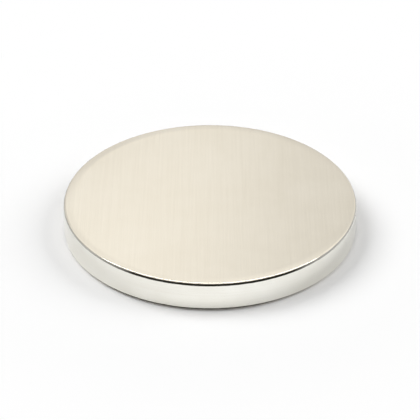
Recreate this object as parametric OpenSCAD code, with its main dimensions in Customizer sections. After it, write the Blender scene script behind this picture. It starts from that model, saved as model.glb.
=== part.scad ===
// Disc magnet: one sintered disc, ground flat on both pole faces, tumbled round its
// edges and plated with bright nickel all over. It is magnetised through its thickness.
// It lies on one pole face: the origin is the centre of that face, and +Z is the disc's
// axis, from the lower pole face to the upper one. Sizes are in millimetres, over the
// plating.

/* [Disc] */
// Outside diameter
disc_d = 28; // [10:0.5:60]
// Thickness, from pole face to pole face
disc_t = 3; // [1.5:0.1:10]

/* [Edge] */
// Radius that tumbling leaves between the rim and the shoulder
edge_r = 0.3; // [0.1:0.05:0.5]
// Width of the soft shoulder that tumbling leaves on a pole face, inside that radius
shoulder_w = 0.8; // [0.2:0.1:1.5]
// Radius of the shoulder's slight curve, in section
shoulder_r = 10; // [6:0.5:30]

/* [Hidden] */

// Steps in a full turn of the disc, of the edge's small circle and of the shoulder's
// large one, where a curve is drawn as a mesh.
turn_steps = 240;
edge_steps = 48;
shoulder_steps = 720;

rim_r = disc_d / 2;
mid_z = disc_t / 2;

// The flat of a pole face ends at this radius, where the shoulder's arc starts.
flat_r = rim_r - edge_r - shoulder_w;
// Slope at which the shoulder's arc runs into the edge's arc, tangent to it.
slope = asin(shoulder_w / (shoulder_r - edge_r));
// Width of the shoulder's arc, out to the point where the two arcs meet.
arc_w = shoulder_r * sin(slope);
// The shoulder lowers the edge's arc by this much.
edge_drop = (shoulder_r - edge_r) * (1 - cos(slope));

// Shoulder of the upper pole face, under an arc that is tangent to the face.
module shoulder() {
    translate([flat_r, 0]) intersection() {
        translate([0, mid_z - shoulder_r]) circle(r = shoulder_r, $fn = shoulder_steps);
        square([arc_w, mid_z]);
    }
}

// Round edge above the rim, tangent to the shoulder and to the rim.
module round_edge() {
    translate([rim_r - edge_r, mid_z - edge_r])
        translate([0, -edge_drop]) circle(r = edge_r, $fn = edge_steps);
}

// Section above the disc's middle plane, from the axis out to the rim.
module upper_section() {
    square([flat_r, mid_z]);
    square([rim_r, mid_z - edge_r - edge_drop]);
    shoulder();
    round_edge();
}

// Both halves of the section, standing on the lower pole face.
module section() {
    translate([0, mid_z]) {
        upper_section();
        mirror([0, 1]) upper_section();
    }
}

// The whole disc: its section turned once round the axis.
module disc_magnet() {
    color("#e6dfcf") rotate_extrude($fn = turn_steps) section();
}

disc_magnet();
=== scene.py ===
# %% [markdown]
# # A disc magnet in bright nickel
#
# This lesson dresses one real part: a magnet disc of sintered neodymium-iron-boron,
# 28 mm across and 3 mm thick, with a nickel plating that is a little warmer than chrome.
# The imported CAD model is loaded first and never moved. Everything is in metres, in the
# part's own frame: the disc lies on the floor at z = 0 and its axis is Z.

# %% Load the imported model
import math

import bpy
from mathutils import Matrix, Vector


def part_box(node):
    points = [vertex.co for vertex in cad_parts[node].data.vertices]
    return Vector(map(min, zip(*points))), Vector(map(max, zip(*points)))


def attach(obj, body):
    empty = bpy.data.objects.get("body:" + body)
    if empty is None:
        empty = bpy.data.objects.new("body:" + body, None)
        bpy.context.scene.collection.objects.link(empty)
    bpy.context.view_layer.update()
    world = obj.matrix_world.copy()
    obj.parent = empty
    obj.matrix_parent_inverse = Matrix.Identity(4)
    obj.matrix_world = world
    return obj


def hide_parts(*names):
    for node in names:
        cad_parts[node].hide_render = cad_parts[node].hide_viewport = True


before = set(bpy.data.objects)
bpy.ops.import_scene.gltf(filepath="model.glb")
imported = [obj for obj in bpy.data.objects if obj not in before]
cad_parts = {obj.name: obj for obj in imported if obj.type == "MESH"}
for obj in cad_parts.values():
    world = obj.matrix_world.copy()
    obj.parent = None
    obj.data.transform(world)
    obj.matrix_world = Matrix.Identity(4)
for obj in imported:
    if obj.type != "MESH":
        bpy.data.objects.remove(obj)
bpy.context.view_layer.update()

MM = 0.001
low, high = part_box("disc_magnet")
rim_r = (high.x - low.x) / 2
thickness = high.z - low.z
print(f"disc: {2 * rim_r / MM:.2f} mm across, {thickness / MM:.2f} mm thick")

# %% [markdown]
# ## The camera
#
# The picture is taken from close by with a long lens, which keeps the disc's ellipse
# plain. The line of sight meets the pole face at 33.3 degrees and starts 218 mm from its
# centre. The angle and the distance set the perspective, and the lens only sets how much
# of the frame the disc fills. The camera sits 1.2 mm lower than for the centre of the
# face, so that the face and the rim together are in the middle of the frame.

# %% Camera
sight_angle = math.radians(33.3)
sight_distance = 218 * MM
face_centre = Vector((0, 0, thickness))
aim_drop = 1.2 * MM
lens_mm = 195
near_clip = 10 * MM

bpy.ops.object.select_all(action="DESELECT")
away = Vector((0, -math.cos(sight_angle), math.sin(sight_angle)))
bpy.ops.object.camera_add(
    location=face_centre + away * sight_distance - Vector((0, 0, aim_drop)),
    rotation=away.to_track_quat("Z", "Y").to_euler(),
)
camera = bpy.context.object
camera.name = "camera"
camera.data.lens = lens_mm
camera.data.clip_start = near_clip
bpy.context.scene.camera = camera
print("camera at", [round(x / MM, 1) for x in camera.location], "mm")

# %% [markdown]
# ## The section of the disc
#
# A disc like this is pressed, sintered and ground flat, and then tumbled with hundreds
# of others until its edges are round. The tumbling leaves a small radius between the rim
# and the pole face, and a wide, very shallow shoulder inside that radius. Under a mirror
# finish those two curves are all that the eye gets to judge the shape by, so they are
# drawn as true arcs, each tangent to what it meets.
#
# A cylinder with a bevel would round the edge but miss the shoulder. A section that is
# turned round the axis gives both, and it is how the CAD model is drawn too. Only the
# upper half is drawn, because a mirror gives the other.

# %% Sizes of the section
edge_r = 0.3 * MM
shoulder_w = 0.8 * MM
shoulder_r = 10 * MM

half_t = thickness / 2
flat_r = rim_r - edge_r - shoulder_w
slope = math.asin(shoulder_w / (shoulder_r - edge_r))
edge_drop = (shoulder_r - edge_r) * (1 - math.cos(slope))
wall_top = half_t - edge_r - edge_drop
print(f"flat to {flat_r / MM:.3f} mm, slope {math.degrees(slope):.2f} degrees")
print(f"straight rim {2 * wall_top / MM:.3f} mm")

# %% [markdown]
# ## From one point to a section
#
# A plane is added at the rim and merged into a single point. Extruding that point draws
# the straight wall, and spinning it about a centre draws an arc. The point starts on the
# disc's middle plane and climbs to the axis. Close to the start of a curve there is one
# extra point, which keeps smooth shading from leaning over into the straight stretch.

# %% Draw the upper half of the section
support_gap = 0.05 * MM
edge_steps = 14
shoulder_steps = 10
ring_radii = [flat_r, flat_r - support_gap, 9.5 * MM, 6.5 * MM, 3.5 * MM, 1 * MM, 0]


def extrude_to(step):
    """Draws one straight stretch of the section from its last point."""
    bpy.ops.mesh.extrude_region_move(TRANSFORM_OT_translate={"value": step})


bpy.ops.object.select_all(action="DESELECT")
bpy.ops.mesh.primitive_plane_add(size=1 * MM, location=(rim_r, 0, 0))
disc = bpy.context.object
disc.name = "nickel_disc"
disc.data.name = "nickel_disc"
bpy.ops.object.transform_apply(location=True, rotation=True, scale=True)
bpy.ops.object.mode_set(mode="EDIT")
bpy.ops.mesh.select_mode(type="VERT")
bpy.ops.mesh.merge(type="CENTER")

extrude_to((0, 0, wall_top - support_gap))
extrude_to((0, 0, support_gap))
bpy.ops.mesh.spin(
    steps=edge_steps,
    angle=math.pi / 2 - slope,
    center=(rim_r - edge_r, 0, wall_top),
    axis=(0, 1, 0),
)
bpy.ops.mesh.spin(
    steps=shoulder_steps,
    angle=slope,
    center=(flat_r, 0, half_t - shoulder_r),
    axis=(0, 1, 0),
)
for outer, inner in zip(ring_radii, ring_radii[1:]):
    extrude_to((inner - outer, 0, 0))

disc.update_from_editmode()
section = [vertex.co for vertex in disc.data.vertices]
print(len(section), "points, up to", round(max(p.z for p in section) / MM, 5), "mm")

# %% [markdown]
# ## Turn the section round the axis
#
# A spin of a whole turn makes the upper half, and a Mirror modifier the lower one. Both
# leave points on top of each other, on the axis and at the seam, so the doubles are
# merged, and only then are the normals turned outwards. The steps of the turn are under
# a quarter of a millimetre long, so that the outline stays round in a close view.

# %% Turn, mirror and close
turn_steps = 360
merge_gap = 0.001 * MM

bpy.ops.mesh.select_all(action="SELECT")
bpy.ops.mesh.spin(steps=turn_steps, angle=2 * math.pi, center=(0, 0, 0), axis=(0, 0, 1))
bpy.ops.mesh.select_all(action="SELECT")
bpy.ops.mesh.remove_doubles(threshold=merge_gap)
bpy.ops.object.mode_set(mode="OBJECT")

mirror = disc.modifiers.new("lower half", "MIRROR")
mirror.use_axis = (False, False, True)
mirror.merge_threshold = merge_gap
bpy.ops.object.modifier_apply(modifier=mirror.name)

bpy.ops.object.mode_set(mode="EDIT")
bpy.ops.mesh.select_all(action="SELECT")
bpy.ops.mesh.remove_doubles(threshold=merge_gap)
bpy.ops.mesh.normals_make_consistent(inside=False)
bpy.ops.mesh.select_all(action="DESELECT")
bpy.ops.mesh.select_non_manifold()
disc.update_from_editmode()
print("open edges left:", sum(edge.select for edge in disc.data.edges))
bpy.ops.object.mode_set(mode="OBJECT")

bpy.ops.transform.translate(value=(0, 0, half_t))
bpy.ops.object.transform_apply(location=True, rotation=True, scale=True)
bpy.ops.object.shade_smooth()
print(len(disc.data.polygons), "faces")

# %% [markdown]
# ## Helpers for the finish
#
# Colours are written as they look on a screen, in sRGB hex, and one function turns them
# into the linear values that the shader works with. One more adds a node, sets it up and
# links its inputs, and a third starts a material with no nodes in it.

# %% Helpers for colours and nodes


def linear(hex_colour):
    """The linear colour of an sRGB hex value such as "ece5d3"."""
    parts = [int(hex_colour[i : i + 2], 16) / 255 for i in (0, 2, 4)]
    curve = [c / 12.92 if c <= 0.04045 else ((c + 0.055) / 1.055) ** 2.4 for c in parts]
    return (*curve, 1.0)


def add_node(tree, kind, inputs=None, **settings):
    """Adds a node with its settings, and links or fills the inputs that are given."""
    made = tree.nodes.new(kind)
    for name, value in settings.items():
        setattr(made, name, value)
    for name, value in (inputs or {}).items():
        if isinstance(value, bpy.types.NodeSocket):
            tree.links.new(value, made.inputs[name])
        else:
            made.inputs[name].default_value = value
    return made


def new_material(name):
    """A material with an empty node tree."""
    material = bpy.data.materials.new(name)
    material.use_nodes = True
    material.node_tree.nodes.clear()
    return material, material.node_tree


print("nickel is", [round(c, 3) for c in linear("ece5d3")[:3]], "in linear values")

# %% [markdown]
# ## Bright nickel: the patterns
#
# The plating is bright electroplated nickel, about 15 micrometres thick, and it follows
# what lies under it: the fine parallel lines of the surface grinder on the pole faces,
# lines that run round the rim, and a soft grain all over from the tumbling. A slow haze
# of about 5 mm comes from handling. A slower pattern of 14 mm only sets how strong the
# painted dark edge line is, and it is shifted so that the line is strongest at the front.
# Each is a noise on Object coordinates, stretched by a Mapping node to its real width and
# length. The grinding lines are really some hundredths of a millimetre apart, and are
# drawn at 0.16 mm, about two pixels, so that they show.

# %% Patterns of the plating
grinding_pitch = 0.16 * MM
grinding_length = 9 * MM
rim_pitch = 0.14 * MM
rim_length = 11 * MM
grain_size = 0.45 * MM
haze_size = 5 * MM
# A slow pattern that only sets how strong the painted dark edge line is
line_fade_size = 14 * MM
line_fade_shift = (8.8, 2.5, 4.7)

nickel, tree = new_material("bright_nickel_plate")
place = add_node(tree, "ShaderNodeTexCoord")


def streaks(pitch, length, across, detail, shift=(0, 0, 0)):
    """Noise that is pitch wide along the axes marked 1 and length long along the others."""
    scale = [1 / pitch if mark else 1 / length for mark in across]
    at = add_node(
        tree,
        "ShaderNodeMapping",
        {"Vector": place.outputs["Object"], "Scale": scale, "Location": shift},
    )
    noise = {"Vector": at.outputs["Vector"], "Scale": 1.0, "Detail": detail, "Roughness": 0.6}
    return add_node(tree, "ShaderNodeTexNoise", noise).outputs["Fac"]


grinding = streaks(grinding_pitch, grinding_length, (1, 0, 0), detail=3.0)
rim_lines = streaks(rim_pitch, rim_length, (0, 0, 1), detail=3.0)
grain = streaks(grain_size, grain_size, (1, 1, 1), detail=2.0)
haze = streaks(haze_size, haze_size, (1, 1, 1), detail=3.0)
# Strength of the painted dark edge line, shifted so that it is strongest at the front
line_fade = streaks(line_fade_size, line_fade_size, (1, 1, 1), detail=1.0, shift=line_fade_shift)
print(f"lines every {grinding_pitch / MM:.2f} mm, and {rim_pitch / MM:.2f} on the rim")
print(f"grain {grain_size / MM:.2f}, haze {haze_size / MM:.0f}, wear {line_fade_size / MM:.0f} mm")

# %% [markdown]
# ## Bright nickel: the tones
#
# Nickel reflects less blue than red, which is the warm cast next to chrome. The rim gets
# a paler tone than the pole faces: painted light, which stands in for the brighter
# reflections that a polished rim shows. The faces are told from the rim by the upright
# part of their normal, which is 1 on a pole face and 0 on the rim.

# %% Tones of the plating
rim_side = 0.5
pole_side = 0.95
line_share = 0.4

facing = add_node(tree, "ShaderNodeSeparateXYZ", {"Vector": place.outputs["Normal"]})
upright = add_node(
    tree, "ShaderNodeMath", {0: facing.outputs["Z"]}, operation="ABSOLUTE"
)
on_pole = add_node(
    tree,
    "ShaderNodeMapRange",
    {"Value": upright.outputs[0], "From Min": rim_side, "From Max": pole_side},
    interpolation_type="SMOOTHSTEP",
)
lines = add_node(
    tree,
    "ShaderNodeMix",
    {"Factor": on_pole.outputs["Result"], "A": rim_lines, "B": grinding},
    data_type="FLOAT",
)
cloud = add_node(
    tree,
    "ShaderNodeMix",
    {"Factor": line_share, "A": haze, "B": lines.outputs["Result"]},
    data_type="FLOAT",
)
face_tone = add_node(
    tree,
    "ShaderNodeMix",
    {"Factor": cloud.outputs["Result"], 6: linear("e5dcc9"), 7: linear("f7f0e1")},
    data_type="RGBA",
)
# Painted light: the rim's paler tone stands in for the brighter reflections of a polished rim
painted_bright_rim_tone = add_node(
    tree,
    "ShaderNodeMix",
    {"Factor": cloud.outputs["Result"], 6: linear("e3dfd3"), 7: linear("fffffa")},
    data_type="RGBA",
)
tone_without_line = add_node(
    tree,
    "ShaderNodeMix",
    {"Factor": on_pole.outputs["Result"], 6: painted_bright_rim_tone.outputs[2], 7: face_tone.outputs[2]},
    data_type="RGBA",
)
print("tones mixed for", nickel.name)

# %% [markdown]
# ## Bright nickel: the painted dark edge line
#
# Where the rounded edge runs into the rim, a fine dark line is painted into the base
# colour, round the disc just outside each pole face. It is a painted reflection: it stands
# in for the dark surroundings that a polished rounded edge mirrors, and it shows from
# every side. It lies where the normal leans between about 40 and 80 degrees from upright.
# The grain makes it slightly ragged, and a slow pattern fades it to a third of its
# strength in places, so that it doesn't look drawn.
#
# The upright part of the normal, with a share of the grain on top, places the line. The
# line starts and is full at two of its values on the shoulder's side, and is full and
# ends at two on the rim's side.

# %% Painted dark edge line
grain_share = 0.16
inner_start = 0.93
inner_full = 0.78
outer_full = 0.34
outer_end = 0.16
faint_line_at = 0.5
full_line_at = 0.64
faintest = 0.35

# Painted reflection: the mask of the dark line painted into the base colour outside each pole
# face
ragged = add_node(
    tree,
    "ShaderNodeMath",
    {0: grain, 1: grain_share, 2: upright.outputs[0]},
    operation="MULTIPLY_ADD",
)
past_shoulder = add_node(
    tree,
    "ShaderNodeMapRange",
    {"Value": ragged.outputs[0], "From Min": inner_start, "From Max": inner_full},
    interpolation_type="SMOOTHSTEP",
)
above_rim = add_node(
    tree,
    "ShaderNodeMapRange",
    {"Value": ragged.outputs[0], "From Min": outer_end, "From Max": outer_full},
    interpolation_type="SMOOTHSTEP",
)
fading = add_node(
    tree,
    "ShaderNodeMapRange",
    {"Value": line_fade, "From Min": faint_line_at, "From Max": full_line_at, "To Min": faintest},
)
edge_line = add_node(
    tree,
    "ShaderNodeMath",
    {0: past_shoulder.outputs["Result"], 1: above_rim.outputs["Result"]},
    operation="MULTIPLY",
)
painted_dark = add_node(
    tree,
    "ShaderNodeMath",
    {0: edge_line.outputs[0], 1: fading.outputs["Result"]},
    operation="MULTIPLY",
)
# The painted dark reflection line goes into the base colour here
tone = add_node(
    tree,
    "ShaderNodeMix",
    {"Factor": painted_dark.outputs[0], 6: tone_without_line.outputs[2], 7: linear("2b2820")},
    data_type="RGBA",
)
print("scuffed line on", nickel.name)

# %% [markdown]
# ## Bright nickel: the shine
#
# The metal is fully metallic. Its roughness stays low and nearly even, and is higher only
# under the painted dark edge line. The lines and the grain bend a reflection by a fraction
# of a degree, through two Bump nodes of under a micrometre.

# %% Shine
clear_roughness = 0.1
hazy_roughness = 0.13
dark_line_roughness = 0.22
grain_depth = 0.0008 * MM
line_depth = 0.0005 * MM

shine_without_line = add_node(
    tree,
    "ShaderNodeMapRange",
    {
        "Value": haze,
        "From Min": 0.3,
        "From Max": 0.7,
        "To Min": clear_roughness,
        "To Max": hazy_roughness,
    },
)
shine = add_node(
    tree,
    "ShaderNodeMix",
    {
        "Factor": painted_dark.outputs[0],
        "A": shine_without_line.outputs["Result"],
        "B": dark_line_roughness,
    },
    data_type="FLOAT",
)
grain_bump = add_node(
    tree,
    "ShaderNodeBump",
    {"Height": grain, "Distance": grain_depth, "Strength": 1.0},
)
line_bump = add_node(
    tree,
    "ShaderNodeBump",
    {
        "Height": lines.outputs["Result"],
        "Distance": line_depth,
        "Strength": 1.0,
        "Normal": grain_bump.outputs["Normal"],
    },
)
metal = add_node(
    tree,
    "ShaderNodeBsdfPrincipled",
    {
        "Base Color": tone.outputs[2],
        "Metallic": 1.0,
        "Roughness": shine.outputs["Result"],
        "Normal": line_bump.outputs["Normal"],
    },
)
add_node(tree, "ShaderNodeOutputMaterial", {"Surface": metal.outputs["BSDF"]})
disc.data.materials.clear()
disc.data.materials.append(nickel)
print("finish:", nickel.name)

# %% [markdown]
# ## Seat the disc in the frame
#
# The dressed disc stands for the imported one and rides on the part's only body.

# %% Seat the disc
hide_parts("disc_magnet")
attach(disc, "root")
print("disc is", [round(size / MM, 3) for size in disc.dimensions], "mm")

# %% [markdown]
# ## A white card for a floor
#
# The disc lies on a plain white card. Close to the disc the card is a plain matte
# surface, which takes the shadow and is what the rim mirrors. Further out, a ray from
# the camera or from a mirror finds it exactly white, so that it runs into the white
# background with no line. Light Path keeps that white from lighting the disc.

# %% Floor
floor_size = 3.0
matte_radius = 18 * MM
white_radius = 40 * MM

bpy.ops.object.select_all(action="DESELECT")
bpy.ops.mesh.primitive_plane_add(size=floor_size)
floor = bpy.context.object
floor.name = "floor"
card, tree = new_material("matte_white_card")
spot = add_node(tree, "ShaderNodeTexCoord")
reach = add_node(
    tree, "ShaderNodeVectorMath", {0: spot.outputs["Object"]}, operation="LENGTH"
)
far_out = add_node(
    tree,
    "ShaderNodeMapRange",
    {"Value": reach.outputs["Value"], "From Min": matte_radius, "From Max": white_radius},
    interpolation_type="SMOOTHSTEP",
)
path = add_node(tree, "ShaderNodeLightPath")
direct = add_node(
    tree,
    "ShaderNodeMath",
    {0: path.outputs["Is Camera Ray"], 1: path.outputs["Is Glossy Ray"]},
    operation="MAXIMUM",
)
seen = add_node(
    tree,
    "ShaderNodeMath",
    {0: direct.outputs[0], 1: path.outputs["Is Transmission Ray"]},
    operation="MAXIMUM",
)
white_part = add_node(
    tree,
    "ShaderNodeMath",
    {0: far_out.outputs["Result"], 1: seen.outputs[0]},
    operation="MULTIPLY",
)
matte = add_node(
    tree,
    "ShaderNodeBsdfPrincipled",
    {"Base Color": linear("ffffff"), "Roughness": 1.0, "Specular IOR Level": 0.0},
)
plain_white = add_node(
    tree, "ShaderNodeEmission", {"Color": linear("ffffff"), "Strength": 1.0}
)
surface = add_node(
    tree,
    "ShaderNodeMixShader",
    {0: white_part.outputs[0], 1: matte.outputs["BSDF"], 2: plain_white.outputs[0]},
)
add_node(tree, "ShaderNodeOutputMaterial", {"Surface": surface.outputs[0]})
floor.data.materials.append(card)
print("floor:", card.name)

# %% [markdown]
# ## Two softboxes at the plain level, and one tube
#
# Two wide softboxes stand a metre away, the key lamp high on the left and a weaker fill
# lamp on the right, both a little behind the disc. Each gives a share of the plain level,
# and the white room gives the rest: at a total of 1, a white card on the floor shows just
# white, and every colour as it is written. A lamp this wide gives the card 0.88 of what a
# small one of its power would. The shadows are pale and soft, and the rim mirrors them at
# its two ends, so that it stands out from the card.
#
# In a mirror a softbox would be only glare, which from some sides bleaches the whole pole
# face, so mirrored rays don't see either of them.
#
# The metal gets a lamp of its own instead. It is a long tube overhead that only mirrored
# rays see, five times as bright as white. The rounded edge draws it into a thin bright
# line beside the scuffed one, and the pole face mirrors it from almost nowhere.

# %% Lamps
lamp_distance = 1.0
room_share = 0.33
softbox_size = (0.7, 0.7)
wide_loss = 0.88
softboxes = {"key_softbox": (0.44, 112, 50), "fill_softbox": (0.23, -100, 38)}
tube_size = (1.8, 0.1)
tube_brightness = 5
tube_watts = tube_brightness * math.pi * tube_size[0] * tube_size[1]


def area_lamp(name, around, height, size, watts):
    """A lamp that stands around degrees left of the camera and height degrees up."""
    side, up = math.radians(around), math.radians(height)
    level = math.cos(up)
    aim = Vector((-level * math.sin(side), -level * math.cos(side), math.sin(up)))
    bpy.ops.object.light_add(
        type="AREA",
        location=aim * lamp_distance,
        rotation=aim.to_track_quat("Z", "Y").to_euler(),
    )
    lamp = bpy.context.object
    lamp.name = name
    lamp.data.shape = "RECTANGLE"
    lamp.data.size, lamp.data.size_y = size
    lamp.data.energy = watts
    return lamp


for name, (share, around, height) in softboxes.items():
    small_watts = share * (math.pi * lamp_distance) ** 2 / math.sin(math.radians(height))
    softbox = area_lamp(name, around, height, softbox_size, small_watts / wide_loss)
    softbox.visible_glossy = False
    print(f"{name}: {softbox.data.energy:.2f} W")

tube = area_lamp("overhead_tube", around=180, height=75, size=tube_size, watts=tube_watts)
tube.visible_diffuse = False
print(f"{tube.name}: {tube.data.energy:.2f} W")

# %% [markdown]
# ## The room that the metal mirrors
#
# A mirror finish shows its surroundings more than itself. In an even white room the disc
# would look like china, so the room has tones, as a real studio has. The foot of the
# walls is dark. Above it they are a little dimmer than white, lightest halfway up, and
# greyer again below a white ceiling. Each stop below is a height in degrees and a grey,
# and a colour ramp on the sine of the height joins them.

# %% Bands of the room
room = bpy.data.worlds.new("white_room")
bpy.context.scene.world = room
room.use_nodes = True
tree = room.node_tree
tree.nodes.clear()

way = add_node(tree, "ShaderNodeTexCoord")
axes = add_node(tree, "ShaderNodeSeparateXYZ", {"Vector": way.outputs["Generated"]})
foot = [(0, 0.3), (4, 0.3), (6, 0.78)]
walls = [(26, 0.84), (38, 1.02), (45, 1.03), (54, 0.82), (68, 0.82)]
ceiling = [(78, 1.03)]

ramp = add_node(tree, "ShaderNodeValToRGB", {"Fac": axes.outputs["Z"]})
stops = ramp.color_ramp.elements
stops.remove(stops[1])
for count, (degrees, grey) in enumerate(foot + walls + ceiling):
    height = math.sin(math.radians(degrees))
    stop = stops[0] if count == 0 else stops.new(height)
    stop.position = height
    stop.color = (grey, grey, grey, 1.0)
print(len(stops), "steps from the floor to the ceiling")

# %% [markdown]
# ## Who sees the room
#
# Soft folds, as in cloth, keep the bands from looking ruled. Only mirrored rays see bands
# and folds. The camera sees plain white, and matte surfaces get the same even light from
# all sides. Light Path tells these rays apart.

# %% Light of the room
drape_shift = (1.7, 0, 0)
fold_scale = 4.5
dim_fold = 0.76
bright_fold = 1.1

drape = add_node(
    tree,
    "ShaderNodeMapping",
    {"Vector": way.outputs["Generated"], "Location": drape_shift},
)
fold = add_node(
    tree,
    "ShaderNodeTexNoise",
    {"Vector": drape.outputs["Vector"], "Scale": fold_scale, "Detail": 1.0},
)
depth = add_node(
    tree,
    "ShaderNodeMapRange",
    {
        "Value": fold.outputs["Fac"],
        "From Min": 0.35,
        "From Max": 0.65,
        "To Min": dim_fold,
        "To Max": bright_fold,
    },
)
mirrored = add_node(
    tree,
    "ShaderNodeMix",
    {"Factor": 1.0, 6: ramp.outputs["Color"], 7: depth.outputs["Result"]},
    data_type="RGBA",
    blend_type="MULTIPLY",
)

path = add_node(tree, "ShaderNodeLightPath")
mirror_ray = add_node(
    tree,
    "ShaderNodeMath",
    {0: path.outputs["Is Glossy Ray"], 1: path.outputs["Is Transmission Ray"]},
    operation="MAXIMUM",
)
even_light = add_node(
    tree,
    "ShaderNodeBackground",
    {"Color": linear("ffffff"), "Strength": room_share},
)
mirror_light = add_node(
    tree, "ShaderNodeBackground", {"Color": mirrored.outputs[2], "Strength": 1.0}
)
white_light = add_node(
    tree, "ShaderNodeBackground", {"Color": linear("ffffff"), "Strength": 1.0}
)
bounced = add_node(
    tree,
    "ShaderNodeMixShader",
    {0: mirror_ray.outputs[0], 1: even_light.outputs[0], 2: mirror_light.outputs[0]},
)
sky = add_node(
    tree,
    "ShaderNodeMixShader",
    {0: path.outputs["Is Camera Ray"], 1: bounced.outputs[0], 2: white_light.outputs[0]},
)
add_node(tree, "ShaderNodeOutputWorld", {"Surface": sky.outputs[0]})
bpy.context.scene.view_settings.view_transform = "Standard"
print("room:", room.name)
